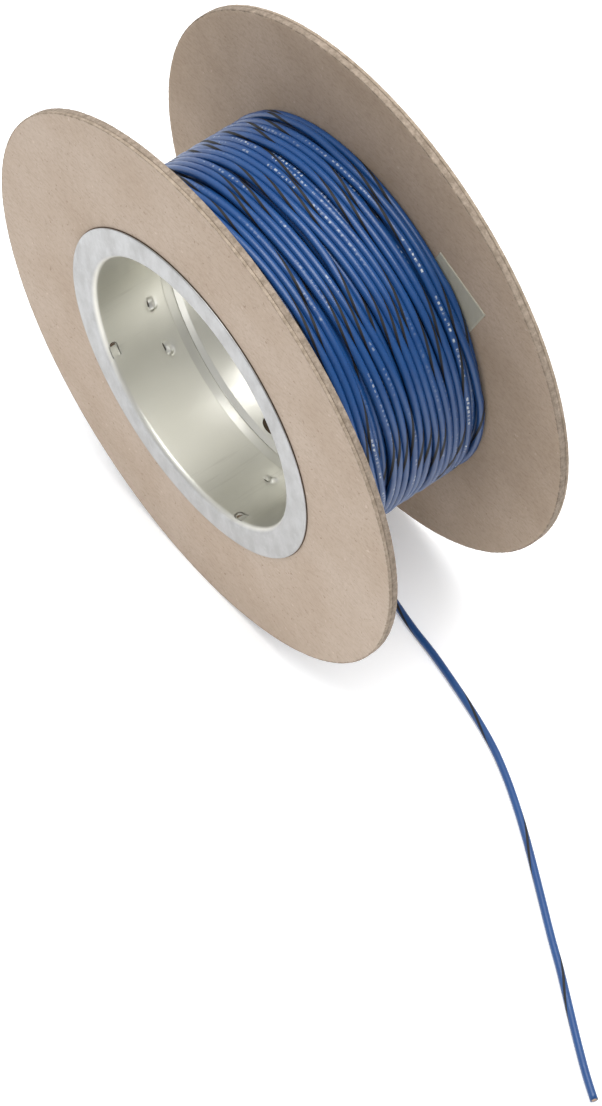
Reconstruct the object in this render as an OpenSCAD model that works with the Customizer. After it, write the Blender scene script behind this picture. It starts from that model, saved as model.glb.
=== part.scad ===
// Spool of stranded hook-up wire, standing on the rims of its two board flanges.
// The spool's axis runs along Y, the front flange is at -Y, and the origin is on
// the standing surface below the middle of the spool.

/* [Flanges] */
// Outside diameter of both flanges
flange_d = 152.4; // [140:0.2:180]
// Thickness of one laminated flange
flange_t = 2.5; // [2:0.1:4]
// Thickness of the facing board on the outside of each flange
facing_t = 0.8; // [0.4:0.1:1.2]
// Clear width between the flanges
traverse = 49.5; // [44:0.5:70]

/* [Hub] */
// Bore of the steel ferrules
bore_d = 75; // [60:0.5:78]
// Thickness of the ferrules' sheet steel
sheet_t = 0.6; // [0.4:0.1:0.8]
// Outside diameter of the ring that each ferrule turns out on the flange
ring_d = 91.5; // [88:0.5:110]
// Radius of the visible turn from the ring into the bore
turn_r = 1.7; // [1.2:0.1:2]
// Depth from the front flange's face at which the two ferrules meet
meet_depth = 21.6; // [20:0.1:26]
// How far the ferrules' rolled lips stand in from the bore wall
lip_rise = 0.8; // [0.3:0.1:1.2]
// Wall of the paperboard core tube
tube_t = 2.5; // [2:0.1:4]

/* [Barbs] */
// Length of the tabs lanced out of a ferrule behind its ring, around the bore
tab_len = 4.2; // [3:0.1:6]
// Width of the tabs, along the bore
tab_w = 2.2; // [1.6:0.1:2.4]
// Width of the barbs lanced out of a ferrule's wall
barb_w = 3.4; // [2:0.1:5]
// Depth of the barbs from the flange's face
barb_depth = 14.4; // [8:0.1:16]
// Angle of each barb from the line of its tab
barb_splay = 10; // [6:1:14]
// Width of the arched tabs at the rear ferrule's inner end
arch_w = 7; // [4:0.5:9]

/* [Wire] */
// Diameter over the insulation
wire_d = 2; // [1.6:0.1:2.4]
// Diameter of the stranded conductor
conductor_d = 1.2; // [0.8:0.1:1.4]
// Outside diameter of the winding
winding_d = 100.4; // [90:0.2:110]

/* [Tape] */
// Width of the tape that holds the wire's start to the rear flange
tape_w = 18; // [12:0.5:25]
// Thickness of the tape
tape_t = 0.15; // [0.1:0.01:0.2]

/* [Hidden] */
$fn = 96;

hub_z = flange_d / 2;
overall_w = traverse + 2 * flange_t;
bore_r = bore_d / 2;
wall_r = bore_r + sheet_t;
tube_r = wall_r + tube_t;
ring_r = ring_d / 2;
turn_back_r = turn_r - sheet_t;
turn_centre_r = bore_r + turn_r;
board_t = flange_t - facing_t;

// Each rolled lip runs in over lip_run, with half of lip_gap between the two lips
lip_run = 2.2;
lip_gap = 0.1;

// Four lines of tabs and barbs, a quarter turn apart, seen from each ferrule's own ring
lance_angle = 152;
arch_angle = -92;
slit = 0.3;
barb_rise = 0.7;
barb_run = 1.5;
tab_depth = 1.7;
arch_depth = 24.6;
arch_run = 2.2;
notch_clear = 0.1;

// The winding stops short of the flanges, and leaves room for the tape
winding_gap = 0.2;
tape_room = 0.3;

// The tape's outer corner from the hub's axis, and the angle of its outer edge
tape_corner = [46.5, 36.2];
tape_angle = 157;
tape_len = 14;
tape_core_gap = 0.2;

// The free tail: down from the underside of the winding, then along the standing surface
tail_points = [
    [-15, 8.2, 27], [-6, 8, 22.8], [3, 7.8, 18.6], [12, 7.5, 14.4], [21, 7, 10.3],
    [29, 6.6, 6.7], [36, 6, 3.8], [43, 5.4, 1.7], [50, 4.6, 1], [58, 3.8, 1],
    [66, 2.6, 1], [74, 1.2, 1], [82, -0.4, 1], [90, -2.5, 1], [98, -5.4, 1],
    [106, -8.9, 1], [114, -12.8, 1], [122, -17, 1], [130, -21.3, 1], [138, -25.6, 1],
    [146, -29.7, 1], [154, -34.1, 1], [162, -38.5, 1], [170, -42.6, 1], [178, -46.2, 1]
];
tail_sides = 8;
rings_per_point = 2;
conductor_stub = 0.3;

// Puts a shape drawn along local Z, from the front flange's outer face, on the spool's axis.
// Local X stays X, and a feature at angle a above X is drawn at local angle -a.
module on_axis() {
    translate([0, -overall_w / 2, hub_z])
        rotate([-90, 0, 0])
            children();
}

// The same, for the rear half: local Z runs inwards from the rear flange's outer face
module on_rear_axis() {
    translate([0, overall_w / 2, hub_z])
        rotate([90, 0, 0])
            children();
}

module ring_solid(inner_r, outer_r, low, high) {
    rotate_extrude()
        polygon([[inner_r, low], [outer_r, low], [outer_r, high], [inner_r, high]]);
}

// Facing board, its hole countersunk where the ferrule's turn presses it
module flange_facing() {
    rotate_extrude()
        polygon([
            [turn_centre_r, 0], [flange_d / 2, 0], [flange_d / 2, facing_t],
            [wall_r + turn_back_r - facing_t, facing_t]
        ]);
}

module flange_board() {
    chamfer = turn_back_r - facing_t;
    rotate_extrude()
        polygon([
            [wall_r + chamfer, facing_t], [flange_d / 2, facing_t], [flange_d / 2, flange_t],
            [wall_r, flange_t], [wall_r, turn_back_r]
        ]);
}

// Points of an arc round the turn's centre, from the ring's side to the wall's side
function turn_arc(r, steps) = [
    for (i = [0:steps])
        let (a = 90 * i / steps)
            [turn_centre_r - r * sin(a), turn_r - sheet_t - r * cos(a)]
];

// Profile of a ferrule: ring on the flange, turned in, straight wall, rolled lip
function ferrule_profile(depth) =
    let (
        lip_end = depth - lip_gap / 2,
        lip_start = lip_end - lip_run,
        front_arc = turn_arc(turn_r, 6),
        back_arc = turn_arc(turn_back_r, 6),
        back_turn = [for (i = [0:6]) back_arc[6 - i]]
    )
    concat(
        [[ring_r, 0], [ring_r, -sheet_t + 0.15], [ring_r - 0.15, -sheet_t]],
        front_arc,
        [[bore_r, lip_start], [bore_r - lip_rise, lip_end]],
        [[wall_r - lip_rise, lip_end], [wall_r, lip_start]],
        back_turn
    );

// Outline of a tab's slit: a tongue with a round free end, cut on three sides
module tab_slit() {
    round_r = tab_w / 2;
    difference() {
        union() {
            translate([0, tab_len / 2 - round_r])
                circle(r = round_r);
            translate([-round_r, -tab_len / 2])
                square([tab_w, tab_len - round_r]);
        }
        translate([0, tab_len / 2 - round_r])
            circle(r = round_r - slit);
        translate([-round_r + slit, -tab_len / 2 - 1])
            square([tab_w - 2 * slit, tab_len - round_r + 1]);
    }
}

// Stands a flat outline on the ferrule's wall: outline X runs along the depth, Y around it
module through_wall(angle, depth) {
    rotate([0, 0, angle])
        translate([bore_r - 1, 0, depth])
            rotate([0, 90, 0])
                linear_extrude(sheet_t + 2)
                    mirror([1, 0])
                        children();
}

// Everything lanced through a ferrule's wall near its own ring
module lance_cuts() {
    for (quarter = [0:3]) {
        line_angle = lance_angle + 90 * quarter;
        through_wall(line_angle, tab_depth)
            tab_slit();
        for (side = [-1, 1])
            through_wall(line_angle + side * barb_splay, barb_depth)
                translate([0, -barb_w / 2])
                    square([slit, barb_w]);
    }
}

// Barbs pushed out of the wall behind their slits, so that they grip the core tube
module barbs(clear) {
    for (quarter = [0:3])
        for (side = [-1, 1])
            rotate([0, 0, lance_angle + 90 * quarter + side * barb_splay])
                translate([wall_r - sheet_t / 2, (barb_w + clear) / 2, barb_depth + slit])
                    rotate([90, 0, 0])
                        linear_extrude(barb_w + clear)
                            polygon([
                                [0, 0], [sheet_t / 2 + barb_rise + clear, 0],
                                [sheet_t / 2 + barb_rise + clear, slit], [0, barb_run + clear]
                            ]);
}

module ferrule(depth) {
    union() {
        difference() {
            rotate_extrude()
                polygon(ferrule_profile(depth));
            lance_cuts();
        }
        barbs(0);
    }
}

// Arched openings in the rear ferrule's wall, near the middle of the bore
module arch_cuts() {
    for (quarter = [0:3])
        through_wall(arch_angle + 90 * quarter, overall_w - arch_depth)
            intersection() {
                circle(r = arch_w / 2);
                translate([-arch_run, -arch_w / 2])
                    square([arch_run, arch_w]);
            }
}

module front_flange_facing() {
    color("#c4b09f")
        on_axis()
            flange_facing();
}

module front_flange_board() {
    color("#b3a08c")
        on_axis()
            flange_board();
}

module rear_flange_facing() {
    color("#c4b09f")
        on_rear_axis()
            flange_facing();
}

module rear_flange_board() {
    color("#b3a08c")
        on_rear_axis()
            flange_board();
}

module front_ferrule() {
    color("#d0d2d0")
        on_axis()
            ferrule(meet_depth);
}

module rear_ferrule() {
    rear_depth = overall_w - meet_depth;
    color("#d0d2d0")
        on_rear_axis()
            difference() {
                ferrule(rear_depth);
                arch_cuts();
            }
}

module core_tube() {
    color("#8a6f55")
        difference() {
            on_axis()
                ring_solid(wall_r, tube_r, flange_t, flange_t + traverse);
            on_axis()
                barbs(notch_clear);
            on_rear_axis()
                barbs(notch_clear);
        }
}

module start_tape() {
    color("#b0ae9f")
        translate([0, overall_w / 2 - flange_t, hub_z])
            rotate([90, 0, 0])
                linear_extrude(tape_t)
                    difference() {
                        translate(tape_corner)
                            rotate(tape_angle)
                                square([tape_w, tape_len]);
                        circle(r = tube_r + tape_core_gap);
                    }
}

module wire_winding() {
    color("#3f68a8")
        on_axis()
            ring_solid(
                tube_r, winding_d / 2,
                flange_t + winding_gap, flange_t + traverse - tape_room
            );
}

// Smooth curve through the tail's points
function spline(p, t) =
    let (
        i = min(floor(t), len(p) - 2),
        u = t - i,
        a = p[max(i - 1, 0)],
        b = p[i],
        c = p[i + 1],
        d = p[min(i + 2, len(p) - 1)]
    )
    0.5 * (2 * b + (c - a) * u + (2 * a - 5 * b + 4 * c - d) * u * u
        + (3 * b - 3 * c + d - a) * u * u * u);

tail_ring_count = (len(tail_points) - 1) * rings_per_point + 1;
tail_centres = [for (i = [0:tail_ring_count - 1]) spline(tail_points, i / rings_per_point)];

function unit(v) = v / norm(v);
function heading(i) =
    unit(tail_centres[min(i + 1, tail_ring_count - 1)] - tail_centres[max(i - 1, 0)]);

// One ring of the tube's corners, square to the wire's heading
function tube_ring(i) =
    let (
        along = heading(i),
        side = unit(cross(along, [0, 0, 1])),
        up = cross(side, along)
    )
    [
        for (k = [0:tail_sides - 1])
            let (a = 360 * (k + 0.5) / tail_sides)
                tail_centres[i] + wire_d / 2 * (cos(a) * side + sin(a) * up)
    ];

module wire_tail() {
    corners = [for (i = [0:tail_ring_count - 1]) each tube_ring(i)];
    walls = [
        for (i = [0:tail_ring_count - 2])
            for (k = [0:tail_sides - 1])
                let (
                    next = (k + 1) % tail_sides,
                    here = i * tail_sides,
                    there = (i + 1) * tail_sides
                )
                    [here + k, here + next, there + next, there + k]
    ];
    start_cap = [for (k = [0:tail_sides - 1]) tail_sides - 1 - k];
    end_cap = [for (k = [0:tail_sides - 1]) (tail_ring_count - 1) * tail_sides + k];
    color("#3f68a8")
        polyhedron(points = corners, faces = concat(walls, [start_cap], [end_cap]), convexity = 4);
}

// The conductor's cut strands, standing just out of the insulation at the tail's end
module tail_conductor() {
    last = tail_ring_count - 1;
    along = heading(last);
    color("#b88a5e")
        translate(tail_centres[last])
            rotate([0, 0, atan2(along.y, along.x)])
                rotate([0, 90, 0])
                    cylinder(h = conductor_stub, d = conductor_d);
}

front_flange_facing();
front_flange_board();
rear_flange_facing();
rear_flange_board();
front_ferrule();
rear_ferrule();
core_tube();
start_tape();
wire_winding();
wire_tail();
tail_conductor();
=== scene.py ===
import math

import bmesh
import bpy
import numpy as np
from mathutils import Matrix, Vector, noise


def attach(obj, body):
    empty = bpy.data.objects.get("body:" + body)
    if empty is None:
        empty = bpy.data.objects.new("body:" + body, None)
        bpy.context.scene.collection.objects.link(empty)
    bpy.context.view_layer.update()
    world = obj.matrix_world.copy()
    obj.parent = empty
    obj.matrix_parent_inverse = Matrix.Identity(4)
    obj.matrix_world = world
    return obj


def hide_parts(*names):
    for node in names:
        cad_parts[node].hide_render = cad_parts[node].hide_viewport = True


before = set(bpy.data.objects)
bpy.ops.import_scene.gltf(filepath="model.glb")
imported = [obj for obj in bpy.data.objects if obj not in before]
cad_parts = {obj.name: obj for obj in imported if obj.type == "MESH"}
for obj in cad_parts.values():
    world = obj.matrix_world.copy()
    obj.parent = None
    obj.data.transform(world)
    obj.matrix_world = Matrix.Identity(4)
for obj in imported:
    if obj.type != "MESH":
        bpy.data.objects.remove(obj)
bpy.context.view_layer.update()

MM = 0.001

# ---------------------------------------------------------------- sizes, in millimetres

HUB_Z = 76.2
FLANGE_R = 76.2
FLANGE_T = 2.5
FACING_T = 0.8
HALF_W = 27.25
INNER_Y = HALF_W - FLANGE_T
BORE_R = 37.5
WALL_R = 38.1
RING_R = 45.75
SHEET = 0.6
TURN_R = 1.7
EDGE_R = BORE_R + TURN_R
EDGE_DEPTH = TURN_R - SHEET
LIP_R = BORE_R - 0.8
LIP_LENGTH = 2.2
MEET_DEPTH = 21.6
WIRE_R = 1.0
STRIPE_PITCH = 38.9

# The wire's length is in metres and the stripe's start in turns
STRIPE_START = 0.8


# ---------------------------------------------------------------- camera


def add_camera():
    data = bpy.data.cameras.new("camera")
    data.lens = 110
    data.sensor_width = 36
    data.clip_start = 0.02
    data.clip_end = 20
    camera = bpy.data.objects.new("camera", data)
    camera.location = (0.3943, -0.3075, 0.7301)
    camera.rotation_euler = (math.radians(33.77), 0, math.radians(51.39))
    bpy.context.scene.collection.objects.link(camera)
    bpy.context.scene.camera = camera


add_camera()


# ---------------------------------------------------------------- node helpers


class Nodes:
    """Short names for the few node types that the materials are made of."""

    def __init__(self, name):
        self.material = bpy.data.materials.new(name)
        self.material.use_nodes = True
        self.tree = self.material.node_tree
        self.shader = self.tree.nodes["Principled BSDF"]

    def new(self, kind, **settings):
        node = self.tree.nodes.new(kind)
        for key, value in settings.items():
            setattr(node, key, value)
        return node

    def link(self, source, target):
        self.tree.links.new(source, target)

    def put(self, socket, value):
        if isinstance(value, bpy.types.NodeSocket):
            self.link(value, socket)
        else:
            socket.default_value = value

    def coords(self):
        return self.new("ShaderNodeTexCoord").outputs["Object"]

    def place(self):
        """X, Y and Z in the part's own frame, in metres."""
        parts = self.new("ShaderNodeSeparateXYZ")
        self.link(self.coords(), parts.inputs[0])
        return parts.outputs[0], parts.outputs[1], parts.outputs[2]

    def math(self, operation, a, b=0.0):
        node = self.new("ShaderNodeMath", operation=operation)
        self.put(node.inputs[0], a)
        self.put(node.inputs[1], b)
        return node.outputs[0]

    def along_noise(self, value, scale, detail=1.0):
        """Smooth noise over one number."""
        node = self.new("ShaderNodeTexNoise", noise_dimensions="1D")
        node.inputs["Scale"].default_value = scale
        node.inputs["Detail"].default_value = detail
        self.link(value, node.inputs["W"])
        return node.outputs["Fac"]

    def hash(self, value):
        """A number from 0 to 1 that jumps with every change of the value."""
        node = self.new("ShaderNodeTexWhiteNoise", noise_dimensions="1D")
        self.link(value, node.inputs["W"])
        return node.outputs["Value"]

    def axis_radius(self):
        """Distance from the spool's axis, in millimetres."""
        x, _, z = self.place()
        up = self.math("SUBTRACT", z, HUB_Z * MM)
        square = self.math("ADD", self.math("POWER", x, 2), self.math("POWER", up, 2))
        return self.math("MULTIPLY", self.math("SQRT", square), 1000)

    def noise(self, scale, detail=3.0, rough=0.5, vector=None, distortion=0.0):
        node = self.new("ShaderNodeTexNoise")
        node.inputs["Scale"].default_value = scale
        node.inputs["Detail"].default_value = detail
        node.inputs["Roughness"].default_value = rough
        node.inputs["Distortion"].default_value = distortion
        self.link(vector if vector is not None else self.coords(), node.inputs["Vector"])
        return node.outputs["Fac"]

    def stretch(self, scale):
        node = self.new("ShaderNodeMapping")
        node.inputs["Scale"].default_value = scale
        self.link(self.coords(), node.inputs["Vector"])
        return node.outputs["Vector"]

    def remap(self, value, from_low, from_high, to_low, to_high):
        node = self.new("ShaderNodeMapRange")
        self.put(node.inputs["Value"], value)
        for key, number in zip(
            ("From Min", "From Max", "To Min", "To Max"), (from_low, from_high, to_low, to_high)
        ):
            self.put(node.inputs[key], number)
        return node.outputs["Result"]

    def mix(self, factor, a, b):
        node = self.new("ShaderNodeMix", data_type="RGBA")
        self.put(node.inputs["Factor"], factor)
        for socket, value in ((node.inputs[6], a), (node.inputs[7], b)):
            if isinstance(value, bpy.types.NodeSocket):
                self.link(value, socket)
            else:
                socket.default_value = (*value, 1)
        return node.outputs[2]

    def bump(self, height, strength, distance):
        node = self.new("ShaderNodeBump")
        node.inputs["Strength"].default_value = strength
        node.inputs["Distance"].default_value = distance
        self.link(height, node.inputs["Height"])
        return node.outputs["Normal"]

    def finish(self, colour, roughness, normal=None, **fixed):
        self.put(self.shader.inputs["Base Color"], colour)
        self.put(self.shader.inputs["Roughness"], roughness)
        if normal is not None:
            self.link(normal, self.shader.inputs["Normal"])
        for key, value in fixed.items():
            self.shader.inputs[key.replace("_", " ")].default_value = value
        return self.material


def linear(r, g, b):
    """A colour given as 0 to 255 screen values, as the shader's linear numbers."""
    return tuple(
        c / 12.92 if c <= 0.04045 else ((c + 0.055) / 1.055) ** 2.4
        for c in (r / 255, g / 255, b / 255)
    )


# ---------------------------------------------------------------- materials


def wire_material():
    """Blue insulation with a black stripe wound round it and worn white ink ticks, laid out
    by the wire's own UV map: U is metres from the cut end, V is turns round it."""
    n = Nodes("wire_insulation")
    tick, tick_group = 1.4, 5.6
    uv = n.new("ShaderNodeSeparateXYZ")
    uv_map = n.new("ShaderNodeUVMap", uv_map="along_and_round")
    n.link(uv_map.outputs["UV"], uv.inputs[0])
    along, around = uv.outputs[0], uv.outputs[1]

    # The stripe's pitch wanders a little on the winding, so that it falls differently on each
    # turn, and not at all along the free tail
    on_winding = n.remap(along, -0.5, -0.25, 2.4, 0)
    drift = n.math("MULTIPLY", n.along_noise(along, 1.7, 2), on_winding)
    turns = n.math("MULTIPLY", along, 1000 / STRIPE_PITCH)
    turns = n.math("ADD", n.math("ADD", turns, STRIPE_START), drift)
    turns = n.math("SUBTRACT", turns, around)
    place = n.math("ABSOLUTE", n.math("SUBTRACT", n.math("FRACT", turns), 0.5))
    ragged = n.math("MULTIPLY", n.noise(900, 2), 0.012)
    stripe = n.remap(n.math("ADD", place, ragged), 0.056, 0.068, 1, 0)

    # Ink ticks: rows of small worn dashes, in groups, with bare stretches between
    mm = n.math("MULTIPLY", along, 1000)
    cell = n.math("MULTIPLY", mm, 1 / tick)
    number = n.math("FLOOR", cell)
    word = n.math("FLOOR", n.math("MULTIPLY", mm, 1 / tick_group))
    group = n.math("GREATER_THAN", n.hash(word), 0.36)
    marked = n.math("GREATER_THAN", n.hash(number), 0.2)
    printed = n.remap(n.along_noise(along, 3.7, 1), 0.50, 0.54, 0, 1)
    faint = n.remap(n.along_noise(along, 9.0, 1), 0.38, 0.68, 0.15, 0.9)
    sway = n.math("MULTIPLY", n.math("SUBTRACT", n.along_noise(along, 2.9, 1), 0.5), 0.5)
    jitter = n.math("MULTIPLY", n.hash(n.math("ADD", number, 0.37)), 0.04)
    aside = n.math("SUBTRACT", n.math("ADD", around, n.math("ADD", sway, jitter)), 0.99)
    aside = n.math("SUBTRACT", n.math("FRACT", n.math("ADD", aside, 0.5)), 0.5)
    aside = n.math("MULTIPLY", aside, 6.28)
    in_row = n.remap(n.math("ABSOLUTE", aside), 0.18, 0.34, 1, 0)
    half = n.remap(n.hash(n.math("ADD", number, 0.71)), 0, 1, 0.16, 0.36)
    from_middle = n.math("ABSOLUTE", n.math("SUBTRACT", n.math("FRACT", cell), 0.5))
    in_cell = n.remap(n.math("SUBTRACT", from_middle, half), -0.06, 0.06, 1, 0)
    worn = n.remap(n.noise(1500, 2, 0.6), 0.42, 0.58, 0.05, 1)
    ink = worn
    for part in (in_row, in_cell, group, marked, printed, faint):
        ink = n.math("MULTIPLY", ink, part)
    ink = n.math("MULTIPLY", ink, n.math("SUBTRACT", 1, stripe))

    tone = n.noise(160, 3)
    blue = n.mix(tone, linear(16, 59, 114), linear(25, 75, 131))
    black = n.mix(tone, linear(3, 3, 5), linear(10, 10, 13))
    colour = n.mix(stripe, blue, black)
    colour = n.mix(ink, colour, linear(196, 203, 206))

    fine = n.noise(2500, 2)
    roughness = n.remap(n.noise(300, 3), 0.3, 0.7, 0.33, 0.43)
    roughness = n.remap(stripe, 0, 1, roughness, 0.7)
    return n.finish(
        colour, roughness, n.bump(fine, 0.05, 0.00005), Specular_IOR_Level=0.6
    )


def board_material(name, light, dark, fleck, rim_light, rim_dark):
    """Pressed board: fine fibres, faint mottling, small flecks, a dark line of painted shade
    round the steel ring's edge, and a raw darker cut rim."""
    n = Nodes(name)
    radius = n.axis_radius()
    mottle = n.noise(38, 4, 0.6)
    grain = n.noise(1500, 3, 0.7)
    strands = n.noise(520, 4, 0.75, n.stretch((1, 1, 2.4)))
    base = n.mix(n.remap(mottle, 0.35, 0.65, 0, 1), light, dark)
    base = n.mix(n.remap(grain, 0.42, 0.62, 0.0, 0.5), base, dark)
    base = n.mix(n.remap(strands, 0.46, 0.72, 0.0, 0.34), base, fleck)
    base = n.mix(n.remap(n.noise(1050, 2, 0.5), 0.68, 0.74, 0, 0.6), base, fleck)
    pale = n.remap(n.noise(760, 2, 0.5, distortion=0.4), 0.69, 0.76, 0, 0.35)
    base = n.mix(pale, base, linear(222, 208, 194))

    # Painted shade: a thin dark brown line round the steel ring's edge, standing in for the shadow
    # in the gap under the ring
    ring_gap_shade = n.remap(radius, RING_R + 0.08, RING_R + 0.26, 0.85, 0)
    base = n.mix(ring_gap_shade, base, linear(84, 63, 46))

    torn = n.noise(620, 4, 0.75)
    rim = n.mix(n.remap(torn, 0.38, 0.62, 0, 1), rim_light, rim_dark)
    reach = n.math("ADD", radius, n.math("MULTIPLY", n.math("SUBTRACT", torn, 0.5), 1.1))
    at_rim = n.remap(reach, FLANGE_R - 0.45, FLANGE_R - 0.2, 0, 1)
    colour = n.mix(at_rim, base, rim)

    height = n.math("ADD", n.math("MULTIPLY", grain, 0.5), strands)
    height = n.math("ADD", height, n.math("MULTIPLY", n.math("MULTIPLY", torn, at_rim), 4))
    roughness = n.remap(mottle, 0.2, 0.8, 0.78, 0.9)
    return n.finish(colour, roughness, n.bump(height, 0.45, 0.00014), Specular_IOR_Level=0.22)


def steel_material():
    """Tinned sheet: warm and drawn lengthwise in the bore, scuffed on the rings and darker
    grey there as painted shade, and duller from the rolled edge outwards."""
    n = Nodes("tinned_steel")
    _, y, _ = n.place()
    off_middle = n.math("ABSOLUTE", y)
    outside = n.remap(off_middle, (HALF_W - 0.15) * MM, (HALF_W + 0.45) * MM, 0, 1)
    rolled = n.remap(off_middle, (HALF_W - 1.55) * MM, (HALF_W - 0.55) * MM, 0, 1)
    streaks = n.noise(420, 3, 0.6, n.stretch((1, 0.09, 1)))
    cloud = n.noise(60, 3, 0.5)
    fine = n.noise(1500, 2, 0.5)
    scuff = n.noise(260, 4, 0.7, n.stretch((1, 1, 0.5)))
    hair = n.noise(1700, 2, 0.5, n.stretch((0.35, 1, 1)))

    bore = n.mix(cloud, linear(219, 218, 210), linear(226, 225, 218))
    bore = n.mix(n.remap(streaks, 0.59, 0.73, 0, 0.36), bore, linear(194, 191, 182))
    # Painted shade: the rings are the same sheet as the bore, given a darker grey in place of
    # shade; the scuffs and hairlines on them are real marks
    ring = n.mix(n.remap(scuff, 0.38, 0.66, 0, 1), linear(176, 177, 178), linear(168, 168, 168))
    ring = n.mix(n.remap(hair, 0.66, 0.74, 0, 0.45), ring, linear(188, 188, 188))
    colour = n.mix(outside, bore, ring)
    plain = n.remap(n.math("ADD", cloud, streaks), 0.7, 1.3, 0.32, 0.41)
    dull = n.remap(scuff, 0.35, 0.65, 0.40, 0.52)
    roughness = n.remap(rolled, 0, 1, plain, dull)
    height = n.math("ADD", n.math("MULTIPLY", streaks, 0.5), n.math("MULTIPLY", fine, 0.2))
    height = n.math("ADD", height, n.math("MULTIPLY", n.math("MULTIPLY", hair, outside), 0.5))
    return n.finish(colour, roughness, n.bump(height, 0.06, 0.00004), Metallic=1.0)


def tape_material():
    """Crepe paper tape, its fine wrinkles across its length."""
    n = Nodes("masking_tape")
    crepe = n.noise(700, 3, 0.6, n.stretch((1, 1, 0.25)))
    colour = n.mix(crepe, linear(170, 167, 150), linear(188, 186, 172))
    return n.finish(colour, 0.62, n.bump(crepe, 0.3, 0.0001), Specular_IOR_Level=0.35)


def copper_material():
    n = Nodes("copper_strand")
    tone = n.noise(3000, 2)
    colour = n.mix(tone, linear(168, 128, 98), linear(214, 192, 170))
    return n.finish(colour, 0.3, Metallic=1.0)


def tube_material():
    """The core tube's brown paper, in faint bands."""
    n = Nodes("kraft_tube")
    bands = n.noise(300, 3, 0.6, n.stretch((1, 2.5, 1)))
    colour = n.mix(bands, linear(58, 44, 32), linear(84, 66, 48))
    return n.finish(colour, 0.85, n.bump(bands, 0.3, 0.0002))


# ---------------------------------------------------------------- mesh helpers


def make_object(name, points, faces, material, smooth=True):
    mesh = bpy.data.meshes.new(name)
    mesh.from_pydata([tuple(p) for p in np.asarray(points) * MM], [], faces)
    mesh.validate()
    mesh.update()
    if smooth:
        mesh.polygons.foreach_set("use_smooth", [True] * len(mesh.polygons))
    mesh.materials.append(material)
    thing = bpy.data.objects.new(name, mesh)
    bpy.context.scene.collection.objects.link(thing)
    return thing


def grid_faces(rows, columns, wrap_columns=False, wrap_rows=False, flip=False):
    """Quads between neighbouring points of a rows by columns grid."""
    faces = []
    for i in range(rows if wrap_rows else rows - 1):
        for k in range(columns if wrap_columns else columns - 1):
            j, m = (i + 1) % rows, (k + 1) % columns
            quad = (i * columns + k, i * columns + m, j * columns + m, j * columns + k)
            faces.append(quad[::-1] if flip else quad)
    return faces


def smoothstep(t):
    t = np.clip(t, 0, 1)
    return t * t * (3 - 2 * t)


def wander(x, seed, longest, shortest, count=7):
    """A smooth random curve of about unit size over x, the same on every run."""
    draw = np.random.default_rng(seed)
    total = np.zeros_like(x, dtype=float)
    for wave in np.geomspace(longest, shortest, count):
        total += np.sin(2 * np.pi * (x / wave + draw.random())) * draw.uniform(0.5, 1)
    return total / math.sqrt(count / 2)


# ---------------------------------------------------------------- the wire

# The route has STEPS points in one turn, and half as many in the three layers next to the
# core. Layers are counted outwards from the core.
STEPS = 96
FIRST_R = 41.6
LAYER_RISE = 1.9
TOP_TURNS = 21.383
UNDER_TURNS = 23.0
CORE_TURNS = 20.33
TOP_START = 12.0
LEAVE_ANGLE = 245.0
LEAVE_Y = 8.3
CROSSING_R = 51.12
CLIMB_STEPS = 14
TURN_GAP = 1.45
WANDER = 2.0
WEDGE_ANGLE = -17
WEDGE_SPREAD = 21
WEDGE_Y = -19.2

# The free tail: the CAD model's route, ending a little earlier
TAIL = [
    (-15, 8.2, 27), (-6, 8, 22.8), (3, 7.8, 18.6), (12, 7.5, 14.4), (21, 7, 10.3),
    (29, 6.6, 6.7), (36, 6, 3.8), (43, 5.4, 1.7), (50, 4.6, 1), (58, 3.8, 1),
    (66, 2.6, 1), (74, 1.2, 1), (82, -0.4, 1), (90, -2.5, 1), (98, -5.4, 1),
    (106, -8.9, 1), (114, -12.8, 1), (122, -17, 1), (130, -21.3, 1), (138, -25.6, 1),
    (146, -29.7, 1), (154, -34.1, 1), (162, -38.5, 1), (170, -42.7, 1), (176.6, -45.8, 1),
]


def on_spool(angle, y, r):
    a = np.radians(angle)
    return np.stack([r * np.cos(a), y, HUB_Z + r * np.sin(a)], -1)


def lower_layers():
    """Angle, place across the width and radius of the four layers under the visible one."""
    turns = [CORE_TURNS] * 3 + [UNDER_TURNS]
    edge = INNER_Y - WIRE_R - 0.05
    end_angle = TOP_START
    parts = []
    for layer in reversed(range(4)):
        steps = STEPS // 2 if layer < 3 else STEPS
        count = round(turns[layer] * steps)
        angle = end_angle - 360 / steps * np.arange(count, 0, -1)
        t = np.linspace(0, 1, count)
        side = 1 if layer % 2 == 0 else -1
        y = side * (edge - 2 * edge * t)
        y = y + wander(angle, 10 + layer, 900, 200) * 0.25 * np.sin(np.pi * t)
        r = np.full(count, FIRST_R + LAYER_RISE * layer)
        climb = smoothstep((t - 1) * turns[layer] / 0.2 + 1)
        r += (LAYER_RISE if layer < 3 else 0) * climb
        parts.append((angle, y, r))
        end_angle = angle[0]
    return parts[::-1]


def in_order(y, edge):
    """Keeps each turn in front of the one before it and all of them between the flanges."""
    down, up = np.minimum(y, edge), np.maximum(y, -edge)
    for i in range(STEPS, len(y)):
        down[i] = min(down[i], down[i - STEPS] - TURN_GAP)
    for i in range(len(y) - STEPS - 1, -1, -1):
        up[i] = max(up[i], up[i + STEPS] + TURN_GAP)
    return np.clip((down + up) / 2, -edge, edge)


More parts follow.
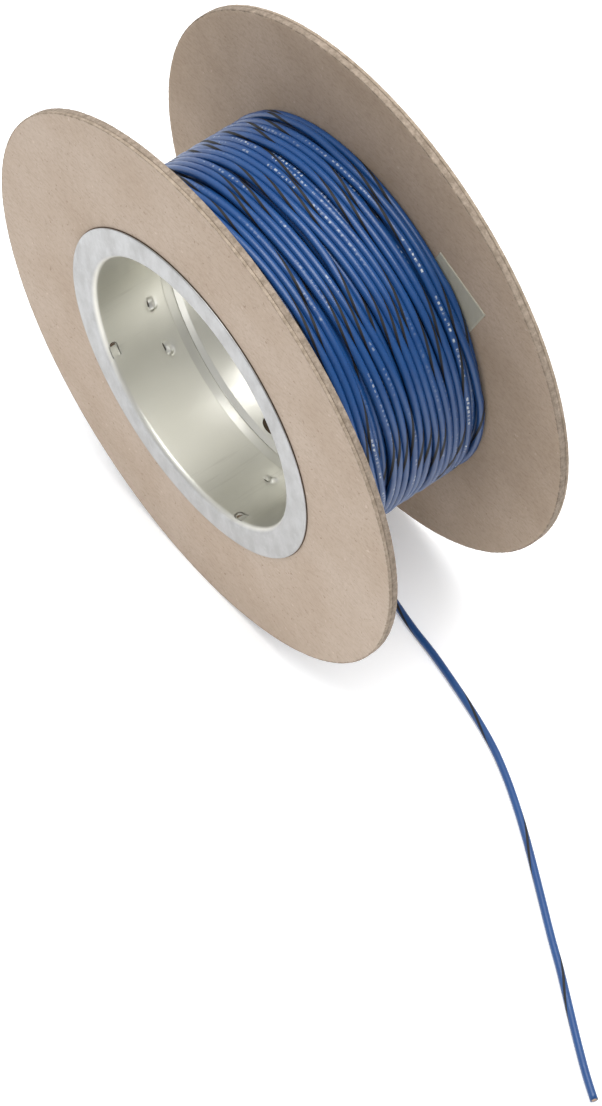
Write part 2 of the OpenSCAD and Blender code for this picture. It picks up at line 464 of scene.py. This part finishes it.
def top_layer(under, deeper):
    """The visible layer, settled on the one under it and on the climb out of the layer deeper
    still: turns push each other aside, ride up where they are crowded and part where they have
    room. Its last stretch climbs beside the front flange, ready to cross over."""
    under_angle, under_y, under_r = under
    rows = len(under_y) // STEPS
    tail_end = len(under_y) - rows * STEPS
    below_y = under_y[tail_end:].reshape(rows, STEPS)
    below_r = under_r[tail_end:].reshape(rows, STEPS)
    before = under_angle[tail_end] - 360 + 360 / STEPS * np.arange(STEPS)
    below_y = np.vstack([np.interp(before, deeper[0], deeper[1]), below_y])
    below_r = np.vstack([np.interp(before, deeper[0], deeper[2]), below_r])
    count = round(TOP_TURNS * STEPS)
    index = np.arange(count)
    angle = TOP_START + 360 / STEPS * index
    edge = INNER_Y - WIRE_R - 0.02
    pitch = 2 * edge / (TOP_TURNS - 0.4)
    turn = index / STEPS
    step = np.floor(turn) + smoothstep((turn % 1 - 0.5) / 0.5)
    even = 0.4 * np.maximum(turn - 0.5, 0) * TOP_TURNS / (TOP_TURNS - 0.5)
    target = edge - pitch * (0.6 * step + even)
    target += wander(angle, 3, 1500, 100, 9) * WANDER

    # Turns part in a wedge near the front flange
    here = (angle + 180) % 360 - 180
    wedge = np.exp(-(((here - WEDGE_ANGLE) / WEDGE_SPREAD) ** 2))
    wedge = wedge * np.exp(-np.abs(target - WEDGE_Y) / 7)
    target += wedge * np.where(target > WEDGE_Y, 5.5, -1.5)
    target = in_order(target, edge)
    y = target.copy()
    r = np.full(count, FIRST_R + LAYER_RISE * 4)
    off_flange = smoothstep(turn / 0.1)
    low = FIRST_R + LAYER_RISE * 3
    column = index % STEPS
    for _ in range(400):
        y[1:-1] += 0.3 * ((y[:-2] + y[2:]) / 2 - y[1:-1])
        r[1:-1] += 0.3 * ((r[:-2] + r[2:]) / 2 - r[1:-1])
        y += 0.05 * (target - y)
        across = y[:, None] - below_y.T[column]
        rise = np.sqrt(np.clip((2 * WIRE_R) ** 2 - across**2, 0, None))
        rest = (below_r.T[column] + rise * (rise > 0)).max(1)
        r = np.maximum(r - 0.04, rest)
        risen = low + (np.maximum(r, low + LAYER_RISE) - low) * off_flange
        r = np.where(turn < 0.1, risen, r)
        dy, dr = y[STEPS:] - y[:-STEPS], r[STEPS:] - r[:-STEPS]
        apart = np.hypot(dy, dr)
        push = np.clip(2 * WIRE_R - apart, 0, None) / apart / 2
        y[STEPS:] += dy * push
        y[:-STEPS] -= dy * push
        r[STEPS:] += dr * push
        r[:-STEPS] -= dr * push
        y = np.clip(y, -edge, edge)
    r = r + (CROSSING_R - r) * smoothstep((index - count + 1) / CLIMB_STEPS + 1)
    return angle, y, r


def crossing(last_angle, last_y):
    """The last turn's way back over the others to the middle, on the spool's far side."""
    lead = last_angle % 360
    count = round((LEAVE_ANGLE - lead) / 360 * STEPS)
    t = np.arange(1, count + 1) / count
    angle = last_angle + (LEAVE_ANGLE - lead) * t
    y = last_y + (LEAVE_Y - last_y) * smoothstep(t)
    return angle, y, np.full(count, CROSSING_R)


def catmull(points, per_span):
    """A smooth curve through the points, from the second to the last but one."""
    p = np.asarray(points, float)
    out = []
    for i in range(1, len(p) - 2):
        a, b, c, d = p[i - 1], p[i], p[i + 1], p[i + 2]
        for u in np.arange(per_span) / per_span:
            square = (2 * a - 5 * b + 4 * c - d) * u * u
            cube = (3 * b - 3 * c + d - a) * u**3
            out.append(0.5 * (2 * b + (c - a) * u + square + cube))
    out.append(p[-2])
    return np.array(out)


def wire_path():
    """The whole wire's centreline, from its start at the core to the cut end, and at each
    point the direction away from the spool's axis."""
    lower = lower_layers()
    top = top_layer(lower[-1], lower[-2])
    back = crossing(top[0][-1], top[1][-1])
    wound = [np.concatenate(part) for part in zip(*lower, top, back)]
    coil = on_spool(*wound)
    outward = np.stack(
        [np.cos(np.radians(wound[0])), np.zeros(len(coil)), np.sin(np.radians(wound[0]))], -1
    )
    last = np.array(TAIL[-1], float)
    beyond = last + (last - np.array(TAIL[-2], float))
    tail = catmull([coil[-2], coil[-1], *TAIL, beyond], 5)[1:]
    return np.vstack([coil, tail]), outward


def unit(v):
    return v / np.linalg.norm(v, axis=-1, keepdims=True)


def tube_frames(path, outward):
    """The path's heading at each point and two directions square to it. The first of the two
    looks away from the spool's axis on the winding and is carried on without twist along the
    tail."""
    heading = unit(np.gradient(path, axis=0))
    first = np.zeros_like(path)
    coil = len(outward)
    flat = outward - (outward * heading[:coil]).sum(1, keepdims=True) * heading[:coil]
    first[:coil] = unit(flat)
    for i in range(coil, len(path)):
        step = first[i - 1] - heading[i] * float(first[i - 1] @ heading[i])
        first[i] = step / np.linalg.norm(step)
    return heading, first, np.cross(heading, first)


def build_wire(material):
    """The whole wire as one tube, with its UV map: U in metres from the cut end, V in turns."""
    sides = 12
    path, outward = wire_path()
    heading, first, second = tube_frames(path, outward)
    along = np.concatenate([[0], np.cumsum(np.linalg.norm(np.diff(path, axis=0), axis=1))])
    turn = 2 * np.pi * np.arange(sides) / sides
    ring = np.cos(turn)[:, None, None] * first + np.sin(turn)[:, None, None] * second
    points = (path + WIRE_R * ring).transpose(1, 0, 2)

    # The cut end: a flat ring of insulation round the hole that the strands fill
    hole_r, hole_depth = 0.62, 0.8
    mouth = path[-1] + hole_r * ring[:, -1]
    floor = path[-1] - heading[-1] * hole_depth + hole_r * ring[:, -1]
    rows = len(path)
    every = np.vstack([points.reshape(-1, 3), mouth, floor])
    faces = grid_faces(rows + 2, sides, wrap_columns=True)
    faces.append(tuple(range(sides))[::-1])
    faces.append(tuple((rows + 1) * sides + k for k in range(sides)))
    wire = make_object("wire", every, faces, material)

    mesh = wire.data
    layer = mesh.uv_layers.new(name="along_and_round")
    corner = np.empty(len(mesh.loops), dtype=np.int64)
    mesh.loops.foreach_get("vertex_index", corner)
    u = (np.concatenate([along, [along[-1]] * 2])[corner // sides] - along[-1]) * MM
    v = (corner % sides) / sides
    starts = np.empty(len(mesh.polygons), dtype=np.int64)
    totals = np.empty(len(mesh.polygons), dtype=np.int64)
    mesh.polygons.foreach_get("loop_start", starts)
    mesh.polygons.foreach_get("loop_total", totals)
    for start in starts[totals == 4]:
        corners = v[start : start + 4]
        if corners.max() - corners.min() > 0.5:
            corners[corners < 0.5] += 1
    layer.data.foreach_set("uv", np.stack([u, v], -1).ravel())
    print("wire length", round(along[-1], 1), "mm,", len(mesh.polygons), "faces")

    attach(wire, "root")
    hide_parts("wire_winding", "wire_tail")
    return wire, path, heading[-1], first[-1], second[-1]


def build_strands(material, end, heading, first, second):
    """Nineteen strands, twisted together, filling the insulation at the cut end."""
    places = [(0.0, 0.0)]
    for count, radius in ((6, 0.245), (12, 0.475)):
        for k in range(count):
            places.append((radius, 360 * k / count + radius * 20))
    draw = np.random.default_rng(5)
    points, faces = [], []
    for radius, angle in places:
        top = 0.03 + 0.12 * draw.random()
        rows = []
        for depth in (-0.75, -0.35, -0.1, top - 0.03, top):
            a = math.radians(angle + depth * 28)
            centre = end + heading * depth + radius * (math.cos(a) * first + math.sin(a) * second)
            size = 0.122 if depth < top else 0.095
            for k in range(8):
                b = 2 * math.pi * k / 8
                rows.append(centre + size * (math.cos(b) * first + math.sin(b) * second))
        base = len(points)
        points.extend(rows)
        faces.extend(tuple(base + c for c in f) for f in grid_faces(5, 8, wrap_columns=True))
        faces.append(tuple(base + 32 + k for k in range(8)))
        faces.append(tuple(base + k for k in range(8))[::-1])
    strands = make_object("conductor_strands", np.array(points), faces, material)
    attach(strands, "root")
    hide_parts("tail_conductor")
    return strands


wire, wire_line, end_heading, end_first, end_second = build_wire(wire_material())
strands = build_strands(
    copper_material(), wire_line[-1], end_heading, end_first, end_second
)


# ---------------------------------------------------------------- boards


def revolve(name, profile, angles, material, side, shape=None):
    """Sweeps a closed profile of (radius, depth from the outer face) round the spool's axis.
    side is -1 for the front half and 1 for the rear one."""
    profile = np.array(profile, float)
    a = np.radians(angles)
    r = np.repeat(profile[:, 0][None], len(a), 0)
    depth = np.repeat(profile[:, 1][None], len(a), 0)
    if shape is not None:
        r, depth = shape(r, depth, a[:, None] + 0 * r)
    y = side * (HALF_W - depth)
    points = np.stack(
        [r * np.cos(a)[:, None], y, HUB_Z + r * np.sin(a)[:, None]], -1
    ).reshape(-1, 3)
    faces = grid_faces(len(a), len(profile), True, True, flip=side > 0)
    return make_object(name, points, faces, material)


def fibre_noise(r, depth, a, scale, seed):
    """Smooth noise on the board; the scale is in waves per millimetre."""
    flat = np.stack([r * np.cos(a), depth + seed, r * np.sin(a)], -1).reshape(-1, 3) * scale
    values = [noise.noise(Vector(p)) for p in flat]
    return np.array(values).reshape(r.shape)


def span(low, high, count):
    return list(np.linspace(low, high, count))


def flange_pieces(facing, board):
    """Both plies of each flange, with rough cut rims and slight dents."""
    angles = np.arange(0, 360, 0.6)
    rim = FLANGE_R
    seam = FACING_T + 0.02
    for side, word in ((-1, "front"), (1, "rear")):
        face_radii = [EDGE_R] + span(41, rim - 0.5, 12) + [rim - 0.25, rim - 0.1]
        face = [(r, 0.0) for r in face_radii]
        outer = [(rim - 0.03, 0.12), (rim - 0.02, 0.4), (rim - 0.03, 0.7), (rim - 0.15, 0.79)]
        back = [(75, FACING_T), (60, FACING_T), (WALL_R + 0.35, FACING_T)]

        def rough_rim(r, depth, a, seed=side * 40.0):
            edge = smoothstep((r - rim + 1) / 0.8)
            bite = fibre_noise(r, depth, a, 1.3, seed) * 0.10
            bite += fibre_noise(r, depth, a, 0.16, seed + 9) * 0.06
            dent = fibre_noise(r, depth * 0, a, 0.045, seed + 3) * 0.05
            dent = dent + np.clip(fibre_noise(r, depth * 0, a, 0.3, seed + 5) - 0.55, 0, 1) * 0.5
            top = 1 - smoothstep(depth / 0.5)
            r = np.minimum(r - edge * np.abs(bite) * 1.2, rim)
            off_ring = smoothstep((r - RING_R - 1.25) / 2)
            return r, depth + dent * top * off_ring

        piece = revolve(
            f"{word}_facing", face + outer + back, angles, facing, side, rough_rim
        )
        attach(piece, "root")
        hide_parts(f"{word}_flange_facing")

        outer = [(rim - 0.18, 0.83), (rim - 0.08, 0.92), (rim - 0.02, 1.3)]
        outer += [(rim - 0.02, 1.7), (rim - 0.04, 2.1), (rim - 0.1, 2.4)]
        inner_face = [(r, FLANGE_T) for r in [rim - 0.3] + span(75, 42, 12) + [WALL_R]]
        back = [(WALL_R, EDGE_DEPTH), (WALL_R + 0.32, seam), (60, seam), (75, seam)]

        def rough_board(r, depth, a, seed=side * 70.0 + 11):
            edge = smoothstep((r - rim + 1) / 0.8)
            bite = fibre_noise(r, depth * 2, a, 1.3, seed) * 0.14
            bite += fibre_noise(r, depth, a, 0.16, seed + 9) * 0.06
            r = np.minimum(r - edge * np.abs(bite) * 1.2, rim)
            dent = fibre_noise(r, depth * 0, a, 0.06, seed + 3) * 0.05
            far = smoothstep((depth - 2) / 0.4)
            return r, depth - np.abs(dent) * far

        piece = revolve(
            f"{word}_board", outer + inner_face + back, angles, board, side, rough_board
        )
        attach(piece, "root")
        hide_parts(f"{word}_flange_board")


facing_board = board_material(
    "facing_board",
    linear(192, 176, 161), linear(182, 164, 147), linear(138, 117, 98),
    linear(168, 153, 137), linear(138, 124, 108),
)
flange_board = board_material(
    "flange_board",
    linear(192, 174, 156), linear(178, 159, 139), linear(128, 107, 86),
    linear(156, 142, 128), linear(126, 113, 99),
)
flange_pieces(facing_board, flange_board)


# ---------------------------------------------------------------- ferrules


TONGUE_DEPTH = 1.7
TONGUE_HALF = 1.1
TONGUE_LIFT = 0.6
SLIT_HALF = 0.09
BARB_DEPTH = 14.3
BARB_LIFT = 0.55
BARB_APART = 10
BARB_SLOT = [(-1.3, -0.1), (-0.7, -0.25), (0.7, -0.25), (1.3, -0.1), (0.8, 0.25), (-0.8, 0.25)]
KNOB_LIFT = 0.8
SWELL = 0.14
ARCH_DEPTH = 2 * HALF_W - 26.8
ARCH_HALF = 3.5
ARCH_RISE = 2.2


def ferrule_rows(depth_end):
    """The sheet's outer face on the ring and inner face in the bore, from the ring's edge to
    the end of the turned-in lip."""
    bend = depth_end - LIP_LENGTH
    rows = [(RING_R, -0.26), (RING_R, -0.45), (RING_R - 0.06, -0.54), (RING_R - 0.2, -SHEET)]
    rows += [(r, -SHEET) for r in span(RING_R - 1, 40, 6)]
    for k in range(19):
        a = math.radians(90 * k / 18)
        rows.append((EDGE_R - TURN_R * math.sin(a), EDGE_DEPTH - TURN_R * math.cos(a)))
    rows += [(BORE_R, d) for d in span(1.2, 3.2, 17)]
    rows += [(BORE_R, d) for d in span(4.0, 11.5, 5)]
    rows += [(BORE_R, d) for d in span(12.4, 17.6, 27)]
    rows += [(BORE_R, d) for d in span(18.6, bend - 0.2, 2 if depth_end < 25 else 8)]
    rows += [(BORE_R, bend), (BORE_R - 0.03, bend + 0.1)]
    rows += [(BORE_R - 0.03 - 0.73 * t, bend + 0.1 + 1.9 * t) for t in span(0.1, 1, 7)]
    rows += [(LIP_R, depth_end - 0.06), (LIP_R, depth_end)]
    return rows


def arc_from(a, centre):
    """Distance round the bore, in millimetres, from the line at the angle centre."""
    return (np.mod(np.degrees(a) - centre + 180, 360) - 180) * math.pi / 180 * BORE_R


def press_details(r, depth, a, tongues, turn):
    """The tongues' and barbs' shapes pressed into the sheet. turn is 1 where they run with the
    angle and -1 where they run against it."""
    inside = (r < EDGE_R + 0.1) & (r > 36)
    for line in tongues:
        t = arc_from(a, line) * turn
        edge = np.hypot(np.clip(-1.0 - t, 0, None), depth - TONGUE_DEPTH)
        tongue = smoothstep((TONGUE_HALF - edge) / 0.12) * (t < 2.1)
        swell = np.exp(-(((t - 2.3) / 0.9) ** 2) - ((depth - TONGUE_DEPTH - 0.6) / 0.8) ** 2)
        lift = TONGUE_LIFT * tongue * smoothstep((2.1 - t) / 3.0)
        r = r + inside * (lift - SWELL * swell)
        for offset in (-BARB_APART, BARB_APART):
            t = arc_from(a, line + offset)
            back = depth - BARB_DEPTH
            ramp = np.clip(1 - back / 1.6, 0, 1) * (back > -0.02)
            barb = ramp * np.clip(1 - (t / 1.75) ** 2, 0, 1)
            swell = np.exp(-((t / 1.9) ** 2) - ((back - 1.1) / 1.5) ** 2)
            knob = np.exp(-(((t - 1.4 * turn) / 0.95) ** 2) - ((back - 1.0) / 0.85) ** 2)
            r = r + inside * (BARB_LIFT * barb - SWELL * swell - KNOB_LIFT * knob)
    return r


def prism(outline, line, side, low=36.0, high=39.6):
    """A cutter: an outline of (arc, depth) on the bore, pushed through the sheet."""
    points, count = [], len(outline)
    for radius in (low, high):
        for t, depth in outline:
            a = math.radians(line) + t / BORE_R
            points.append(
                (radius * math.cos(a), side * (HALF_W - depth), HUB_Z + radius * math.sin(a))
            )
    faces = [tuple(range(count)), tuple(range(2 * count - 1, count - 1, -1))]
    for k in range(count):
        m = (k + 1) % count
        faces.append((k, k + count, m + count, m))
    return points, faces


def tongue_outline(turn):
    """The U-shaped slit round a tongue, its closed end at the tongue's free end."""

    def u(half, end=2.0):
        bend = []
        for b in np.linspace(-math.pi / 2, math.pi / 2, 13):
            bend.append((-1.0 - half * math.cos(b), TONGUE_DEPTH + half * math.sin(b)))
        return [(end, TONGUE_DEPTH - half), *bend, (end, TONGUE_DEPTH + half)]

    middle = TONGUE_HALF + 0.05
    return [(t * turn, d) for t, d in u(middle + SLIT_HALF) + u(middle - SLIT_HALF)[::-1]]


def cut(piece, cutters):
    """Takes the cutters out of the piece and keeps the edges of the cuts sharp."""
    points, faces = [], []
    for part_points, part_faces in cutters:
        faces += [tuple(c + len(points) for c in f) for f in part_faces]
        points += part_points
    cutter = make_object("cutter", np.array(points), faces, piece.data.materials[0], False)
    b = bmesh.new()
    b.from_mesh(cutter.data)
    bmesh.ops.recalc_face_normals(b, faces=b.faces)
    b.to_mesh(cutter.data)
    b.free()
    modifier = piece.modifiers.new("cut", "BOOLEAN")
    modifier.operation = "DIFFERENCE"
    modifier.solver = "EXACT"
    modifier.object = cutter
    seen = piece.evaluated_get(bpy.context.evaluated_depsgraph_get())
    mesh = bpy.data.meshes.new_from_object(seen)
    piece.modifiers.clear()
    piece.data = mesh
    bpy.data.objects.remove(cutter)
    mesh.set_sharp_from_angle(angle=math.radians(38))


def build_ferrule(word, side, depth_end, material):
    """One ferrule: its turned sheet, the pressed tongues and barbs and the cuts beside them,
    and in the rear one the arched openings."""
    turn = 1 if side < 0 else -1
    tongues = [-152 + 90 * k if side < 0 else 152 + 90 * k for k in range(4)]
    arches = [-92 + 90 * k for k in range(4)] if side > 0 else []
    barbs = [line + offset for line in tongues for offset in (-BARB_APART, BARB_APART)]
    angles = set(np.round(np.arange(0, 360, 1.0), 3))
    for line in tongues + barbs:
        angles |= set(np.round(np.mod(line + np.arange(-4.2, 4.21, 0.28), 360), 3))
    angles = np.array(sorted(angles))
    angles = angles[np.append(np.diff(angles) > 0.04, True)]

    inner = ferrule_rows(depth_end)
    outer = [(LIP_R + SHEET, depth_end), (WALL_R, depth_end - LIP_LENGTH)]
    outer += [(WALL_R, d) for d in span(17.6, 12.4, 14)] + [(WALL_R, d) for d in span(3.2, 1.2, 9)]
    for k in range(9):
        a = math.radians(90 - 90 * k / 8)
        outer.append((EDGE_R - EDGE_DEPTH * math.sin(a), EDGE_DEPTH - EDGE_DEPTH * math.cos(a)))
    piece = revolve(
        f"{word}_ferrule_sheet", inner + outer[:-1] + [(41, 0.0)], angles, material, side,
        lambda r, depth, a: (press_details(r, depth, a, tongues, turn), depth),
    )
    cutters = [prism(tongue_outline(turn), line, side) for line in tongues]
    slot = [(t, BARB_DEPTH + d) for t, d in BARB_SLOT]
    cutters += [prism(slot, line, side) for line in barbs]
    arch = []
    for b in np.linspace(0, math.pi, 17):
        arch.append((-ARCH_HALF * math.cos(b), ARCH_DEPTH + ARCH_RISE * math.sin(b)))
    cutters += [prism(arch, line, side, 35.0, 40.0) for line in arches]
    cut(piece, cutters)
    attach(piece, "root")
    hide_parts(f"{word}_ferrule")


steel = steel_material()
build_ferrule("front", -1, MEET_DEPTH - 0.05, steel)
build_ferrule("rear", 1, 2 * HALF_W - MEET_DEPTH - 0.05, steel)


# ---------------------------------------------------------------- tape and core


def build_tape(material):
    """A strip flat on the rear flange's inner face, slightly uneven in thickness."""
    corner = np.array([46.5, 36.2])
    slant = math.radians(157)
    across = np.array([math.cos(slant), math.sin(slant)])
    inward = np.array([-across[1], across[0]])
    length, width = 18, 14.0
    columns, rows = 25, 19
    points = []
    for face in (0, 1):
        for i in range(rows):
            for k in range(columns):
                p = corner + across * length * k / (columns - 1) + inward * width * i / (rows - 1)
                lift = 0.03 + 0.05 * abs(noise.noise(Vector((p[0] * 0.4, p[1] * 0.4, 2))))
                y = INNER_Y - (lift + 0.05 if face else 0.0)
                points.append((p[0], y, HUB_Z + p[1]))
    faces = grid_faces(rows, columns, flip=True)
    size = rows * columns
    faces += [tuple(size + c for c in f) for f in grid_faces(rows, columns)]
    border = [(0, k) for k in range(columns)] + [(i, columns - 1) for i in range(1, rows)]
    border += [(rows - 1, k) for k in range(columns - 2, -1, -1)]
    border += [(i, 0) for i in range(rows - 2, 0, -1)]
    loop = [i * columns + k for i, k in border]
    for here, there in zip(loop, loop[1:] + loop[:1]):
        faces.append((here, there, size + there, size + here))
    tape = make_object("tape", np.array(points), faces, material)
    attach(tape, "root")
    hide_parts("start_tape")


build_tape(tape_material())

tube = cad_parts["core_tube"]
tube.data.materials.clear()
tube.data.materials.append(tube_material())


# ---------------------------------------------------------------- studio


def area_light(name, place, target, size, power):
    data = bpy.data.lights.new(name, "AREA")
    data.shape = "RECTANGLE"
    data.size, data.size_y = size
    data.energy = power
    light = bpy.data.objects.new(name, data)
    light.location = place
    aim = Vector(target) - Vector(place)
    light.rotation_euler = aim.to_track_quat("-Z", "Y").to_euler()
    bpy.context.scene.collection.objects.link(light)


def studio():
    """A pale floor, a white surround and one large soft light overhead."""
    n = Nodes("floor")
    pale, rough = (0.9, 0.9, 0.9, 1), 0.9
    floor_material = n.finish(
        pale,
        rough,
        Specular_IOR_Level=0.1,
        Emission_Color=(1, 1, 1, 1),
        Emission_Strength=0.28,
    )
    mesh = bpy.data.meshes.new("floor")
    mesh.from_pydata([(-3, -3, 0), (3, -3, 0), (3, 3, 0), (-3, 3, 0)], [], [(0, 1, 2, 3)])
    mesh.materials.append(floor_material)
    floor = bpy.data.objects.new("floor", mesh)
    bpy.context.scene.collection.objects.link(floor)

    # White all round, dimmer towards the right
    world = bpy.data.worlds.new("studio")
    world.use_nodes = True
    tree = world.node_tree
    coords = tree.nodes.new("ShaderNodeTexCoord")
    parts = tree.nodes.new("ShaderNodeSeparateXYZ")
    shade = tree.nodes.new("ShaderNodeMapRange")
    shade.interpolation_type = "SMOOTHSTEP"
    for key, number in (("From Min", 0.0), ("From Max", 0.9), ("To Min", 0.68), ("To Max", 0.3)):
        shade.inputs[key].default_value = number
    tree.links.new(coords.outputs["Generated"], parts.inputs[0])
    tree.links.new(parts.outputs[0], shade.inputs["Value"])
    tree.links.new(shade.outputs["Result"], tree.nodes["Background"].inputs["Strength"])
    tree.nodes["Background"].inputs["Color"].default_value = (1, 1, 1, 1)
    bpy.context.scene.world = world

    middle = (0, 0, 0.08)
    area_light("overhead", (0.12, 0.08, 1.25), middle, (1.0, 1.15), 19)
    bpy.context.scene.view_settings.view_transform = "Standard"


studio()
